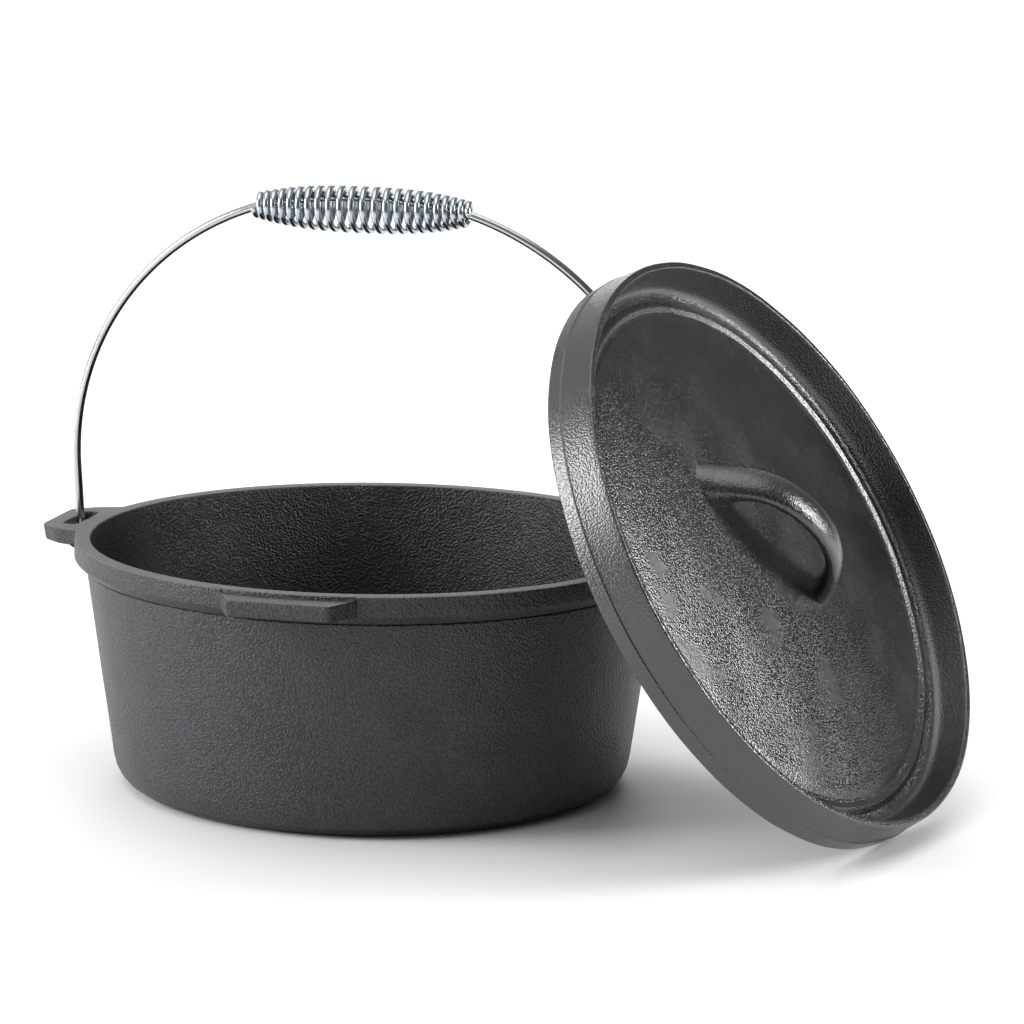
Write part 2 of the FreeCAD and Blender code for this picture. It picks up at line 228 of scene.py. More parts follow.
def pot_sections():
    """Cross-section of the pot at every bearing, as (station, bearing, radius and height). Stations
    run from under the base, up the wall, round band or lug, over the rim and down inside. A run is
    start + (stop - start) t, and a corner is (1 - t)^2 start + 2 t (1 - t) middle + t^2 stop."""
    level = np.ones_like(bearing)

    def at(r, z):
        return np.stack([r * level, z * level], -1)

    def run(start, stop, count):
        t = np.linspace(0, 1, count + 1)[1:, None, None]
        return start + (stop - start) * t

    def corner(start, middle, stop, count):
        t = np.linspace(0, 1, count + 1)[1:, None, None]
        return (1 - t) ** 2 * start + 2 * t * (1 - t) * middle + t ** 2 * stop

    outside = filled_line([
        (0, 0, 0), (base_radius, 0, base_corner), (wall_top_r, wall_top, 0.0006),
        (wall_top_r - groove_depth, wall_top + groove_height * 0.5, 0.0003),
        (shoulder_r, shoulder_z, 0.0006), (rim_radius, pot_height, 0)], grid_step, 7)
    stop_at = np.argmax(outside[:, 1] > shoulder_z + 0.0002)
    wall_out = np.repeat(outside[1:stop_at, None, :], len(bearing), 1)

    # Under the band, or under the web of an ear or tab.
    plain = 1 - on_lug
    lug_under = pot_height - band_height + on_ear * (band_height - ear_thickness)
    lug_under -= on_tab * (tab_below_rim + tab_thickness - band_height)
    plain_turn = at(rim_radius - under_turn[0], pot_height - band_height - under_turn[1])
    web_turn = at(rim_radius - web_turn_in[0] * level + web_turn_in[1] * on_ear, lug_under)
    turn = plain_turn + (web_turn - plain_turn) * on_lug[:, None]
    web_out = at(rim_radius - web_run[0] + web_run[1] * on_tab + web_run[2] * on_ear,
                 lug_under - band_round[2] * plain)

    # The edge, tapered on a lug and eased above and below.
    low_r = outer_edge - ear_taper * on_lug
    top_z = pot_height - tab_below_rim * on_tab
    low_edge = at(low_r, lug_under)
    low_in = at(low_r - edge_ease - band_round[0] * plain, lug_under - band_round[1] * plain)
    low_up = at(low_r + 0.2 * (outer_edge - low_r), lug_under + edge_ease)
    top_edge = at(outer_edge, top_z)
    top_down = at(outer_edge, top_z - edge_ease)
    top_in = at(np.maximum(outer_edge - edge_ease, rim_radius - edge_ease), top_z)

    # The step up from the tab to the rim's land, and the mouth.
    step_r = rim_radius - land_step[0] * (1 - on_tab) + land_step[1] * on_tab
    step_foot = at(np.minimum(step_r, top_in[:, 0] - 1e-4), top_z)
    step_head = at(step_foot[:, 0] - land_step[2], pot_height * level)
    land_in = at(rim_radius - rim_land + mouth_ease, pot_height)
    mouth = at(rim_radius - rim_land, pot_height)
    mouth_r, mouth_z = rim_radius - rim_land - draft * mouth_ease, pot_height - mouth_ease
    mouth_down = at(mouth_r, mouth_z)

    inside = filled_line([
        (mouth_r, mouth_z, 0),
        (base_radius - wall + draft * floor_thickness, floor_thickness, base_corner - wall),
        (0, floor_thickness, 0)], grid_step, 9)
    return np.concatenate([
        wall_out,
        corner(wall_out[-1], turn, web_out, 6),
        run(web_out, low_in, 8),
        corner(low_in, low_edge, low_up, 4),
        run(low_up, top_down, 4),
        corner(top_down, top_edge, top_in, 4),
        run(top_in, step_foot, 8),
        run(step_foot, step_head, 2),
        run(step_head, land_in, 4),
        corner(land_in, mouth, mouth_down, 4),
        np.repeat(inside[1:-1, None, :], len(bearing), 1)], 0)


def revolved(sections, angles):
    """Turns (station, bearing, radius and height) into points: x = r cos, y = r sin, z = height."""
    r, z = sections[..., 0], sections[..., 1]
    return np.stack([r * np.cos(angles), r * np.sin(angles), z], -1)


def outward(points):
    """Unit direction straight away from the z axis at each point."""
    away = points * np.array([1, 1, 0])
    return away / np.maximum(np.linalg.norm(away, axis=-1, keepdims=True), 1e-6)


pot_rings = revolved(pot_sections(), bearing)
cast_part = ramp(pot_height - pot_rings[..., 2], 0.001, 0.006) * ramp(pot_rings[..., 2], 0.0, 0.02)
pot_swell = cast_swell(pot_rings, casting_swell, 3) * cast_part
pot_rings = pot_rings + outward(pot_rings) * pot_swell[..., None]
pot = skin_mesh("pot_casting", pot_rings, (0, 0, 0), (0, 0, floor_thickness))


def slot_cutter(name, side):
    """Slot through an ear: a rounded oblong carried up through it, wider at both faces by
    ease (1 - sin turn) at the heights ease (1 - cos turn), so that the cut leaves eased edges."""
    slot_in = rim_radius + slot_from_rim
    slot_out = slot_in + slot_width
    oblong = filled_line([
        (slot_in, -slot_half, slot_corner), (slot_out, -slot_half, slot_corner),
        (slot_out, slot_half, slot_corner), (slot_in, slot_half, slot_corner)],
        0.0015, 8, closed=True)
    centre = np.array([slot_in + slot_width / 2, 0])
    away = oblong - centre
    away /= np.linalg.norm(away, axis=1)[:, None]
    overrun, under = 0.004, pot_height - ear_thickness
    turn = np.linspace(0, math.pi / 2, 6)
    rise = slot_ease * (1 - np.cos(turn))
    heights = np.r_[under - overrun, under + rise, pot_height - rise[::-1], pot_height + overrun]
    flare = slot_ease * np.r_[slot_flare, 1 - np.sin(turn), 1 - np.sin(turn[::-1]), slot_flare]
    plan = oblong[None] + away[None] * flare[:, None, None]
    rings = np.concatenate([plan, np.repeat(heights[:, None, None], len(oblong), 1)], -1)
    rings[..., 0] *= side
    ends = np.array([[side * centre[0], 0, heights[0]], [side * centre[0], 0, heights[-1]]])
    return skin_mesh(name, rings, ends[0], ends[1])


for side in (1, -1):
    cutter = slot_cutter("slot_cutter", side)
    cut = pot.modifiers.new("ear_slot", "BOOLEAN")
    cut.operation = "DIFFERENCE"
    cut.solver = "EXACT"
    cut.object = cutter
    settled(pot)
    bpy.data.objects.remove(cutter)


def new_group(name, inputs, outputs):
    """An empty shader group with named float or colour sockets."""
    group = bpy.data.node_groups.new(name, "ShaderNodeTree")
    kinds = {"number": "NodeSocketFloat", "colour": "NodeSocketColor", "vector": "NodeSocketVector"}
    for label, kind, value in inputs:
        socket = group.interface.new_socket(label, in_out="INPUT", socket_type=kinds[kind])
        if value is not None:
            socket.default_value = value
    for label, kind in outputs:
        group.interface.new_socket(label, in_out="OUTPUT", socket_type=kinds[kind])
    return group, group.nodes.new("NodeGroupInput"), group.nodes.new("NodeGroupOutput")


def add_node(tree, kind, links=None, **settings):
    """A node with settings by name; links maps an input's name or number to a socket or a value."""
    node = tree.nodes.new(kind)
    for key, value in settings.items():
        setattr(node, key, value)
    for key, value in (links or {}).items():
        if isinstance(value, bpy.types.NodeSocket):
            tree.links.new(value, node.inputs[key])
        else:
            node.inputs[key].default_value = value
    return node


def sand_grain_group():
    """Skin left by the sand mould: rounded pebbles from smooth cells, with finer noise on them and a
    slow patchiness that makes the grain stronger here and weaker there."""
    group, taken, given = new_group("sand_grain", [
        ("Grain Size", "number", 0.0011), ("Patchiness", "number", 0.35), ("Fineness", "number", 0.4)],
        [("Height", "number"), ("Patches", "number"), ("Pits", "number")])
    place = add_node(group, "ShaderNodeTexCoord").outputs["Object"]
    scale = add_node(group, "ShaderNodeMath", {0: 1.0, 1: taken.outputs["Grain Size"]}, operation="DIVIDE")
    warp = add_node(group, "ShaderNodeTexNoise", {"Vector": place, "Scale": 420.0, "Detail": 1.0})
    pushed = add_node(group, "ShaderNodeVectorMath", {0: warp.outputs["Color"], 1: (0.5, 0.5, 0.5)},
                      operation="SUBTRACT")
    small = add_node(group, "ShaderNodeVectorMath", {0: pushed.outputs[0], "Scale": 0.0012},
                     operation="SCALE")
    bent = add_node(group, "ShaderNodeVectorMath", {0: place, 1: small.outputs[0]}, operation="ADD")
    cells = add_node(group, "ShaderNodeTexVoronoi", {"Vector": bent.outputs[0], "Scale": scale.outputs[0],
                     "Smoothness": 0.55}, feature="SMOOTH_F1")
    pebbles = add_node(group, "ShaderNodeMapRange", {"Value": cells.outputs["Distance"], "From Min": 0.1,
                       "From Max": 0.75, "To Min": 1.0, "To Max": 0.0}, interpolation_type="SMOOTHSTEP")
    fine_scale = add_node(group, "ShaderNodeMath", {0: scale.outputs[0], 1: 1.7}, operation="MULTIPLY")
    fine = add_node(group, "ShaderNodeTexNoise", {"Vector": place, "Scale": fine_scale.outputs[0],
                    "Detail": 3.0, "Roughness": 0.6})
    both = add_node(group, "ShaderNodeMix", {0: taken.outputs["Fineness"], 2: pebbles.outputs[0],
                    3: fine.outputs["Fac"]}).outputs[0]
    slow = add_node(group, "ShaderNodeTexNoise", {"Vector": place, "Scale": 38.0, "Detail": 3.0,
                    "Roughness": 0.55})
    patches = add_node(group, "ShaderNodeMapRange", {"Value": slow.outputs["Fac"], "From Min": 0.32,
                       "From Max": 0.68})
    less = add_node(group, "ShaderNodeMath", {0: patches.outputs[0], 1: taken.outputs["Patchiness"]},
                    operation="MULTIPLY")
    keep = add_node(group, "ShaderNodeMath", {0: 1.0, 1: less.outputs[0]}, operation="SUBTRACT")
    height = add_node(group, "ShaderNodeMath", {0: both, 1: keep.outputs[0]}, operation="MULTIPLY")
    # Pits is 1 where the grain is low; the iron material paints shade there.
    pits = add_node(group, "ShaderNodeMapRange", {"Value": both, "From Min": 0.18, "From Max": 0.5,
                    "To Min": 1.0, "To Max": 0.0})
    group.links.new(height.outputs[0], given.inputs["Height"])
    group.links.new(patches.outputs[0], given.inputs["Patches"])
    group.links.new(pits.outputs[0], given.inputs["Pits"])
    return group


sand_grain = sand_grain_group()


def fresh_material(name):
    """A new material, with its node tree and its shader."""
    material = bpy.data.materials.new(name)
    material.use_nodes = True
    return material, material.node_tree, material.node_tree.nodes["Principled BSDF"]


def iron_material(name, dark, light, rough, grain, depth, ior, patchy, ground_above=None, inside=None):
    """Seasoned cast iron: dark iron, seasoned with oil, whose colour and gloss follow the sand grain, with
    painted shade in the grain's pits. Above the height ground_above it is bare, ground and paler. Within
    the cone inside, given as its radius at the base and its draft, it is painted darker as shade inside
    the pot."""
    material, tree, shader = fresh_material(name)
    skin = add_node(tree, "ShaderNodeGroup", {"Grain Size": grain, "Patchiness": patchy},
                    node_tree=sand_grain)
    tone = add_node(tree, "ShaderNodeMix", {0: skin.outputs["Patches"], 6: (*dark, 1), 7: (*light, 1)},
                    data_type="RGBA")
    # Painted shade: the grain's pits are painted darker.
    pit_shaded = add_node(tree, "ShaderNodeMix", {0: skin.outputs["Pits"], 6: tone.outputs[2],
                      7: tuple(c * painted_pit_shade for c in dark) + (1,)}, data_type="RGBA")
    gloss = add_node(tree, "ShaderNodeMapRange", {"Value": skin.outputs["Patches"], "To Min": rough - 0.05,
                     "To Max": rough + 0.06})
    relief = add_node(tree, "ShaderNodeBump", {"Height": skin.outputs["Height"], "Distance": depth,
                      "Strength": 1.0})
    colour, roughness = pit_shaded.outputs[2], gloss.outputs[0]
    place = add_node(tree, "ShaderNodeTexCoord").outputs["Object"]
    height = add_node(tree, "ShaderNodeSeparateXYZ", {0: place}).outputs[2]
    # Painted shade: inside the pot the colour is painted darker.
    if inside is not None:
        base_r, slope = inside
        level = add_node(tree, "ShaderNodeVectorMath", {0: place, 1: (1, 1, 0)}, operation="MULTIPLY")
        radius = add_node(tree, "ShaderNodeVectorMath", {0: level.outputs[0]}, operation="LENGTH")
        edge = add_node(tree, "ShaderNodeMath", {0: height, 1: slope, 2: base_r}, operation="MULTIPLY_ADD")
        depth_in = add_node(tree, "ShaderNodeMath", {0: edge.outputs[0], 1: radius.outputs["Value"]},
                            operation="SUBTRACT")
        within = add_node(tree, "ShaderNodeMapRange", {"Value": depth_in.outputs[0], "From Min": -0.0020,
                          "From Max": -0.0012})
        raised = add_node(tree, "ShaderNodeMath", {0: height, 1: floor_thickness / 2},
                          operation="GREATER_THAN")
        inside_shade = add_node(tree, "ShaderNodeMath", {0: within.outputs[0], 1: raised.outputs[0]},
                         operation="MULTIPLY")
        colour = add_node(tree, "ShaderNodeMix", {0: inside_shade.outputs[0], 6: colour, 7: painted_inside_shade},
                          data_type="RGBA").outputs[2]
    if ground_above is not None:
        ground = add_node(tree, "ShaderNodeMapRange", {"Value": height, "From Min": ground_above,
                          "From Max": ground_above + 0.0003}).outputs[0]
        colour = add_node(tree, "ShaderNodeMix", {0: ground, 6: colour, 7: ground_iron},
                          data_type="RGBA").outputs[2]
        roughness = add_node(tree, "ShaderNodeMix", {0: ground, 2: roughness, 3: ground_rough}).outputs[0]
    tree.links.new(colour, shader.inputs["Base Color"])
    tree.links.new(roughness, shader.inputs["Roughness"])
    tree.links.new(relief.outputs["Normal"], shader.inputs["Normal"])
    shader.inputs["IOR"].default_value = ior
    return material


# The pot's inside is painted darker as shade.
pot_iron = iron_material("pot_iron", pot_dark, pot_light, rough=0.42, grain=0.0012, depth=0.0007, ior=1.5,
                         patchy=0.35, ground_above=pot_height - 0.0006, inside=(base_radius - wall, draft))
pot.data.materials.clear()
pot.data.materials.append(pot_iron)
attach(pot, "pot")
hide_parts("pot")


# ---- The lid ------------------------------------------------------------------------
# One casting with a tall flange round a shallow domed dish, a ring bead inside it and a
# loop handle grown out of the middle. A casting seam runs round the flange.
lid_radius = 0.1553
lid_height = 0.0253
lip_width = 0.0035
flange_draft = 0.0016
seam_height = 0.0078
seam_ridge = 0.0004
dish_wall_lean = 0.0032
dish_fillet = 0.006
dish_floor = 0.0066
plate = 0.004
crown_top = 0.016
dome_radius = 0.1286
dome_edge = 0.0086
ring_drop = 0.0016
ring_groove = 0.0034
ring_bead = 0.005
ring_bead_height = 0.0013
seat_gap = 0.0015
seat_ring = 0.004
seat_ring_drop = 0.001
loop_top = 0.043
loop_crown = 0.060
loop_shoulder = 0.040
loop_crown_half = 0.014
loop_off = (-0.0045, 0.002)
loop_foot_sunk = 0.0026
# Bar sections: arch angle and section tilt in degrees, half thickness and half width.
loop_sections = np.array([
    (-74.0, -90.0, 0.0152, 0.0126),
    (-69.0, -82.0, 0.0106, 0.0121),
    (-60.0, -68.0, 0.0076, 0.0114),
    (-48.0, -50.0, 0.0058, 0.0108),
    (-32.0, -32.0, 0.0050, 0.0104),
    (-14.0, -14.0, 0.0049, 0.0103),
    (4.0, 4.0, 0.0049, 0.0102),
    (22.0, 22.0, 0.0049, 0.0099),
    (40.0, 40.0, 0.0049, 0.0093),
    (56.0, 60.0, 0.0050, 0.0085),
    (67.0, 80.0, 0.0056, 0.0079),
    (74.0, 90.0, 0.0066, 0.0078)])
lid_lean = math.radians(30.4)
lid_bearing = math.radians(-15.5)
handle_turn = math.radians(37.0)
lid_seat = Vector((0.203595, -0.030933, 0.133948))
flange_begins = (0.146, 0.150)
dish_begins = (0.004, 0.006)
lid_dark = (0.010, 0.0107, 0.0123)
lid_light = (0.014, 0.015, 0.017)

dome_sphere = (dome_radius ** 2 + (crown_top - dome_edge) ** 2) / (2 * (crown_top - dome_edge))
under_sphere = dome_sphere - plate


def dome_height(radius, sphere):
    """Height of a shallow dome above the seat: the crown less the fall of a sphere at this radius."""
    return crown_top - dome_sphere + np.sqrt(sphere ** 2 - radius ** 2)


def lid_profile():
    """Half-section of the lid from the middle of its underside, out, up the flange and back over the
    dish to the middle of its dome: two dome lines joined by an outline with eased corners."""
    lip_in = lid_radius - 0.0005 - flange_draft - lip_width
    dish_foot = lip_in - dish_wall_lean
    groove_in = dome_radius + ring_drop
    groove_out = groove_in + ring_groove
    bead_out = groove_out + ring_bead
    groove_z = dome_edge - ring_drop
    bead_z = groove_z + ring_bead_height
    ring_out = rim_radius - rim_land - seat_gap
    ring_in = ring_out - seat_ring
    pole = 0.003
    below = np.linspace(pole, ring_in, 40)
    underside = np.stack([below, dome_height(below, under_sphere)], -1)
    rest = filled_line([
        (ring_in, underside[-1, 1], 0.0006),
        (ring_in, -seat_ring_drop, 0.0005),
        (ring_out, -seat_ring_drop, 0.0005),
        (ring_out, 0, 0.0004),
        (lid_radius, 0, 0.0010),
        (lid_radius - 0.0003, seam_height - 0.0005, 0.0002),
        (lid_radius + seam_ridge - 0.0003, seam_height, 0.0002),
        (lid_radius - 0.0005, seam_height + 0.0005, 0.0002),
        (lid_radius - 0.0005 - flange_draft, lid_height, 0.0012),
        (lip_in, lid_height, 0.0010),
        (dish_foot, dish_floor, dish_fillet),
        (bead_out + 0.001, dish_floor, 0.0008),
        (bead_out - ring_bead * 0.45, bead_z, 0.0014),
        (groove_out, groove_z, 0.0007),
        (groove_in, groove_z, 0.0006),
        (dome_radius, dome_edge, 0.0006)], 0.0032, 6)
    above = np.linspace(dome_radius - 0.0008, pole, 44)
    dome = np.stack([above, dome_height(above, dome_sphere)], -1)
    return np.vstack([underside[:-1], rest[1:], dome])


turns = np.radians(np.arange(0, 360, 0.75))
lid_rings = revolved(np.repeat(lid_profile()[:, None, :], len(turns), 1), turns)
upright = ramp(np.hypot(lid_rings[..., 0], lid_rings[..., 1]), *flange_begins)
lid_swell = cast_swell(lid_rings, casting_swell, 8)
lid_rings = lid_rings + outward(lid_rings) * (lid_swell * upright)[..., None]
lid_rings[..., 2] += lid_swell * (1 - upright) * ramp(lid_rings[..., 2], *dish_begins)
lid = skin_mesh("lid_casting", lid_rings, (0, 0, crown_top - plate), (0, 0, crown_top))


def loop_handle():
    """The loop: a crown arc x = R sin a, z = top - R (1 - cos a), then a shoulder arc of smaller radius
    stretched down to the feet. It carries the oval thick cos b, wide sin b, tilted as the table says,
    with the table eased by a running average."""
    steps, spread = 150, 5
    reading = np.linspace(loop_sections[0, 0], loop_sections[-1, 0], steps)
    rows = np.stack([np.interp(reading, loop_sections[:, 0], loop_sections[:, k]) for k in (1, 2, 3)])
    padded = np.pad(rows, ((0, 0), (spread, spread)), mode="edge")
    rows = sum(padded[:, k:k + steps] for k in range(2 * spread + 1)) / (2 * spread + 1)
    rows[:, [0, -1]] = loop_sections[[0, -1], 1:].T
    angle, tilt = np.radians(reading), np.radians(rows[0])
    thick, wide = rows[1], rows[2]
    crown_angle = math.asin(loop_crown_half / loop_crown)
    crown_low = loop_top - loop_crown * (1 - math.cos(crown_angle))
    foot_z = crown_top - plate + loop_foot_sunk * 0.3
    foot_fall = loop_shoulder * (math.cos(crown_angle) - math.cos(angle[-1]))
    size = np.abs(angle)
    fall = loop_shoulder * (math.cos(crown_angle) - np.cos(size)) * (crown_low - foot_z) / foot_fall
    on_crown = size < crown_angle
    shoulder_x = loop_crown_half + loop_shoulder * (np.sin(size) - math.sin(crown_angle))
    x = np.where(on_crown, loop_crown * np.sin(size), shoulder_x)
    z = np.where(on_crown, loop_top - loop_crown * (1 - np.cos(size)), crown_low - fall)
    middle = np.stack([np.copysign(x, angle) + loop_off[0], 0 * x + loop_off[1], z], -1)
    raised = np.stack([np.sin(tilt), 0 * x, np.cos(tilt)], -1)
    around = np.linspace(0, 2 * math.pi, 49)[:-1]
    across = np.array([0, 1.0, 0])
    rings = (middle[:, None] + raised[:, None] * (thick[:, None] * np.cos(around))[..., None]
             + across * (wide[:, None] * np.sin(around))[..., None])
    return skin_mesh("loop", rings, rings[0].mean(0), rings[-1].mean(0))


loop = loop_handle()
join = lid.modifiers.new("loop_join", "BOOLEAN")
join.operation = "UNION"
join.solver = "EXACT"
join.object = loop
settled(lid, 40)
bpy.data.objects.remove(loop)
standing = (Matrix.Translation(lid_seat) @ Matrix.Rotation(lid_bearing, 4, "Z")
            @ Matrix.Rotation(math.pi / 2 - lid_lean, 4, "Y") @ Matrix.Rotation(handle_turn, 4, "Z"))
lid.data.transform(standing)

lid_iron = iron_material("lid_iron", lid_dark, lid_light, rough=0.23, grain=0.0011, depth=0.0002, ior=1.8,
                         patchy=0.25)
lid.data.materials.clear()
lid.data.materials.append(lid_iron)
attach(lid, "lid")
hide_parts("lid")


# ---- The bail -----------------------------------------------------------------------
# One length of bright drawn wire, bent to an arch with a flatter crown. Each leg goes
# down through its ear's slot and turns outward under the ear's outer bar.
bail_wire = 0.0043
ear_gap = 0.00035
bail_bend = 0.005
leg_from_slot = 0.004
tip_short = 0.0008
bail_height = 0.192
crown_radius = 0.235
crown_half = 0.050
crown_bend = 0.040
shoulder_slope = math.radians(16.4)
bail_lean = math.radians(8.0)
wire_end_taper = 0.8
bail_metal = (0.50, 0.50, 0.48)
pivot_z = pot_height - ear_thickness - ear_gap - bail_wire / 2


def bail_line():
    """Right half of the wire's centre line from crown to tip, as (across, up, heading): the crown's
    flat arc, a tighter bend, the shoulder arc, the straight leg, a small bend and the turned-out end.
    Along each arc of radius R, x goes as R sin a and up as R cos a."""
    leg_x = rim_radius + slot_from_rim + leg_from_slot
    tip = rim_radius + ear_reach - tip_short
    crown_angle = math.asin(crown_half / crown_radius)
    bend_x = crown_half + crown_bend * (math.sin(shoulder_slope) - math.sin(crown_angle))
    crown_drop = crown_radius * (1 - math.cos(crown_angle))
    bend_drop = crown_drop + crown_bend * (math.cos(crown_angle) - math.cos(shoulder_slope))
    shoulder = (leg_x - bend_x) / (1 - math.sin(shoulder_slope))
    shoulder_up = bail_height - bend_drop - shoulder * math.cos(shoulder_slope)
    crown = np.linspace(0, crown_angle, 24)[:-1]
    bend = np.linspace(crown_angle, shoulder_slope, 8)[:-1]
    sweep = np.linspace(shoulder_slope, math.pi / 2, 90)
    leg = np.linspace(shoulder_up, bail_bend, 20)[1:]
    foot = np.linspace(0, math.pi / 2, 14)[1:]
    end = np.linspace(leg_x + bail_bend, tip, 6)[1:]
    x = np.r_[crown_radius * np.sin(crown),
              crown_half + crown_bend * (np.sin(bend) - np.sin(crown_angle)),
              leg_x - shoulder + shoulder * np.sin(sweep), np.full(len(leg), leg_x),
              leg_x + bail_bend * (1 - np.cos(foot)), end]
    up = np.r_[bail_height - crown_radius * (1 - np.cos(crown)),
               bail_height - crown_drop - crown_bend * (math.cos(crown_angle) - np.cos(bend)),
               shoulder_up + shoulder * np.cos(sweep), leg,
               bail_bend * (1 - np.sin(foot)), np.zeros(len(end))]
    heading = np.r_[crown, bend, sweep, np.full(len(leg), math.pi / 2), math.pi / 2 - foot,
                    np.zeros(len(end))]
    return x, up, heading


def wire_rings(middle, sideways, upward, radius, around):
    """Rings of a round wire: each is the centre plus radius times cos and sin along two directions."""
    turn = np.linspace(0, 2 * math.pi, around + 1)[:-1]
    size = np.broadcast_to(np.asarray(radius, float), (len(middle),))[:, None, None]
    return middle[:, None] + size * (np.cos(turn)[None, :, None] * sideways[:, None]
                                     + np.sin(turn)[None, :, None] * upward[:, None])


def leaning(points):
    """Turns points of the upright bail by its lean a about its pivot line to where it stands:
    y cos a - z sin a, y sin a + z cos a."""
    x, y, z = points[..., 0], points[..., 1], points[..., 2]
    c, s = math.cos(bail_lean), math.sin(bail_lean)
    return np.stack([x, y * c - z * s, pivot_z + y * s + z * c], -1)


x, up, heading = bail_line()
x = np.r_[-x[:0:-1], x]
up = np.r_[up[:0:-1], up]
heading = np.r_[-heading[:0:-1], heading]
middle = np.stack([x, 0 * x, up], -1)
rise = np.stack([np.sin(heading), 0 * x, np.cos(heading)], -1)
side = np.repeat([[0, 1.0, 0]], len(x), 0)
size = np.full(len(x), bail_wire / 2)
size[[0, -1]] *= wire_end_taper
bail_rings = leaning(wire_rings(middle, side, rise, size, 32))
bail = skin_mesh("bail_wire", bail_rings, bail_rings[0].mean(0), bail_rings[-1].mean(0))
settled(bail, 50)


def bright_wire_material(name, tint, rough, streak):
    """Bright plated wire: polished metal with faint drawing lines and small tarnish patches."""
    material, tree, shader = fresh_material(name)
    place = add_node(tree, "ShaderNodeTexCoord").outputs["Object"]
    patch = add_node(tree, "ShaderNodeTexNoise", {"Vector": place, "Scale": 160.0, "Detail": 4.0})
    fine = add_node(tree, "ShaderNodeTexNoise", {"Vector": place, "Scale": 2600.0, "Detail": 2.0})
    tone = add_node(tree, "ShaderNodeMix", {0: patch.outputs["Fac"], 6: (*tint, 1),
                    7: tuple(c * 0.8 for c in tint) + (1,)}, data_type="RGBA")
    gloss = add_node(tree, "ShaderNodeMapRange", {"Value": patch.outputs["Fac"], "From Min": 0.3,
                     "From Max": 0.7, "To Min": rough, "To Max": rough + 0.10})
    lines = add_node(tree, "ShaderNodeBump", {"Height": fine.outputs["Fac"], "Distance": streak})
    tree.links.new(tone.outputs[2], shader.inputs["Base Color"])
    tree.links.new(gloss.outputs[0], shader.inputs["Roughness"])
    tree.links.new(lines.outputs["Normal"], shader.inputs["Normal"])
    shader.inputs["Metallic"].default_value = 1.0
    return material


bail_bright = bright_wire_material("bail_bright", bail_metal, rough=0.15, streak=0.000006)
bail.data.materials.append(bail_bright)
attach(bail, "bail")
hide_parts("bail")


# ---- The spring grip ------------------------------------------------------------------
# One spring wound as a barrel over the bail's crown: open turns in the middle, close
# small turns at both ends, zinc plated with a bluish passivation.
grip_length = 0.116
grip_wire = 0.0032
grip_mid_radius = 0.0107
grip_end_radius = 0.005
grip_turns = 23.0
grip_below_crown = 0.0064
barrel_power = 2.6
end_tightness = 0.25
grip_metal = (0.50, 0.55, 0.58)


def grip_rings():
    """A helix about the grip's axis, u from -1 to 1 along it: radius falls from the middle to the ends
    as a power of u, and the turning quickens toward the ends. The wire's ring stands square to it."""
    u = np.linspace(-1, 1, int(grip_turns * 44) + 1)
    along = (grip_length - grip_wire) / 2 * u
    radius = grip_end_radius + (grip_mid_radius - grip_end_radius) * (1 - np.abs(u) ** barrel_power)
    angle = math.pi * grip_turns * (u + end_tightness * u ** 3) / (1 + end_tightness)
    middle = np.stack([along, radius * np.cos(angle), radius * np.sin(angle)], -1)
    ahead = np.gradient(middle, axis=0)
    ahead /= np.linalg.norm(ahead, axis=1)[:, None]
    outward = np.stack([0 * u, np.cos(angle), np.sin(angle)], -1)
    outward -= ahead * (outward * ahead).sum(1)[:, None]
    outward /= np.linalg.norm(outward, axis=1)[:, None]
    size = np.full(len(u), grip_wire / 2)
    size[[0, -1]] *= wire_end_taper
    rings = wire_rings(middle, outward, np.cross(ahead, outward), size, 20)
    return leaning(rings + np.array([0, 0, bail_height - grip_below_crown]))


coil = grip_rings()
grip = skin_mesh("spring_grip_coil", coil, coil[0].mean(0), coil[-1].mean(0))
settled(grip, 50)
grip_zinc = bright_wire_material("grip_zinc", grip_metal, rough=0.16, streak=0.000008)
grip.data.materials.append(grip_zinc)
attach(grip, "grip")
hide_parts("spring_grip")


# ---- Table, light and camera --------------------------------------------------------------
# A pale table under a soft sun, with soft lights at the left, the right and the back,
# and a long lens looking across the pot and a little down.
table_half = 40
table_colour = (0.86, 0.86, 0.87, 1)
bright_side = (-0.80, 0.10, 0.59)
sun_heading = (0.04, 0.10, -1.0)
camera_place = (0.5645, -1.9689, 0.529)
camera_bearing = math.radians(104.0)
camera_down = math.radians(10.72)
camera_roll = math.radians(0.817)
camera_lens = 141.1

table_mesh = bpy.data.meshes.new("table")
table_mesh.from_pydata([(-table_half, -table_half, 0), (table_half, -table_half, 0),
                        (table_half, table_half, 0), (-table_half, table_half, 0)], [], [(0, 1, 2, 3)])
table = bpy.data.objects.new("table", table_mesh)
bpy.context.scene.collection.objects.link(table)
table_white, tree, shader = fresh_material("table_white")
shader.inputs["Base Color"].default_value = table_colour
shader.inputs["Roughness"].default_value = 0.6
shader.inputs["Emission Color"].default_value = (1, 1, 1, 1)
place = add_node(tree, "ShaderNodeTexCoord").outputs["Object"]
from_middle = add_node(tree, "ShaderNodeVectorMath", {0: place}, operation="LENGTH")
far_glow = add_node(tree, "ShaderNodeMapRange", {"Value": from_middle.outputs["Value"], "From Min": 0.35,
                    "From Max": 1.1, "To Min": 0.0, "To Max": 0.4}, interpolation_type="SMOOTHSTEP")
tree.links.new(far_glow.outputs[0], shader.inputs["Emission Strength"])
table.data.materials.append(table_white)


def soft_light(name, place, target, width, height, power):
    """A rectangular soft light at a place, turned to a target and not seen by the camera."""
    light = bpy.data.lights.new(name, "AREA")
    light.shape = "RECTANGLE"
    light.size = width
    light.size_y = height
    light.energy = power
    lamp = bpy.data.objects.new(name, light)
    lamp.location = place
    lamp.visible_camera = False
    lamp.rotation_euler = (Vector(target) - Vector(place)).to_track_quat("-Z", "Y").to_euler()
    bpy.context.scene.collection.objects.link(lamp)


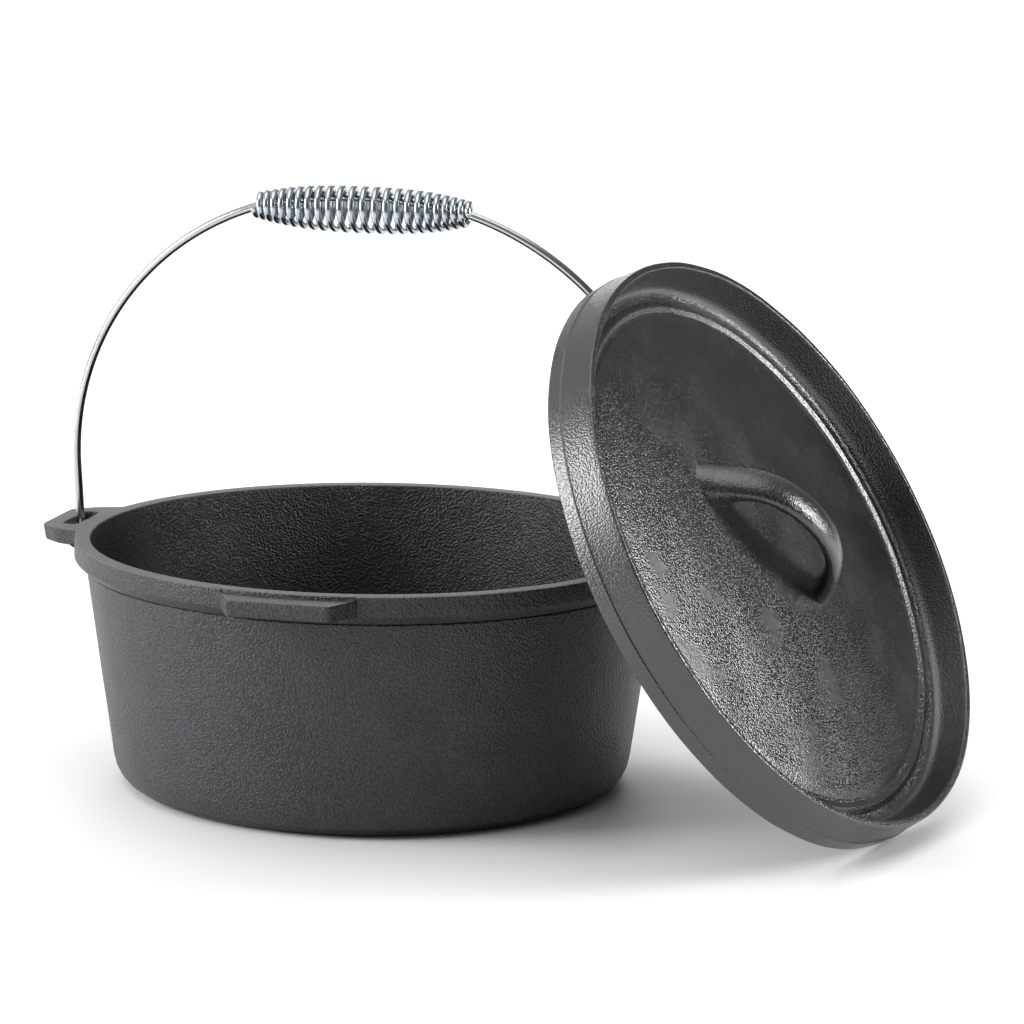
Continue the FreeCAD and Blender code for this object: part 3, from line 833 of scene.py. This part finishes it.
soft_light("left_soft", (-1.5, -0.75, 0.75), (0.05, 0, 0.12), 0.9, 0.9, 27)
soft_light("right_soft", (1.65, 0.34, 0.70), (0.2, 0, 0.13), 0.5, 0.7, 22)
soft_light("back_soft", (-0.3, 2.0, 0.9), (0.1, 0, 0.13), 0.9, 0.7, 5)

overhead = bpy.data.lights.new("overhead", "SUN")
overhead.energy = 1.2
overhead.angle = math.radians(60)
overhead_lamp = bpy.data.objects.new("overhead", overhead)
overhead_lamp.rotation_euler = Vector(sun_heading).to_track_quat("-Z", "Y").to_euler()
bpy.context.scene.collection.objects.link(overhead_lamp)


def studio_world():
    """White to the eye; as light, bright on the left and overhead and dim on the right and in front."""
    world = bpy.data.worlds.new("studio")
    world.use_nodes = True
    tree = world.node_tree
    seen = add_node(tree, "ShaderNodeLightPath")
    heading = add_node(tree, "ShaderNodeTexCoord").outputs["Generated"]
    toward = add_node(tree, "ShaderNodeVectorMath", {0: heading, 1: bright_side},
                      operation="DOT_PRODUCT")
    room = add_node(tree, "ShaderNodeMapRange", {"Value": toward.outputs["Value"], "From Min": -0.35,
                    "From Max": 0.95, "To Min": 0.10, "To Max": 0.85}, interpolation_type="SMOOTHSTEP")
    level = add_node(tree, "ShaderNodeMix", {0: seen.outputs["Is Camera Ray"], 2: room.outputs[0], 3: 1.0})
    tree.links.new(level.outputs[0], tree.nodes["Background"].inputs["Strength"])
    tree.nodes["Background"].inputs["Color"].default_value = (0.97, 0.985, 1.0, 1)
    return world


bpy.context.scene.world = studio_world()
bpy.context.scene.view_settings.view_transform = "Standard"

camera_data = bpy.data.cameras.new("camera")
camera_data.lens = camera_lens
camera_data.sensor_width = 36.0
camera = bpy.data.objects.new("camera", camera_data)
forward = Vector((math.cos(camera_bearing) * math.cos(camera_down),
                  math.sin(camera_bearing) * math.cos(camera_down), -math.sin(camera_down)))
level = Vector((math.sin(camera_bearing), -math.cos(camera_bearing), 0))
right = level * math.cos(camera_roll) + level.cross(forward) * math.sin(camera_roll)
upward = right.cross(forward)
facing = Matrix((right, upward, -forward)).transposed().to_4x4()
camera.matrix_world = Matrix.Translation(camera_place) @ facing
bpy.context.scene.collection.objects.link(camera)
bpy.context.scene.camera = camera
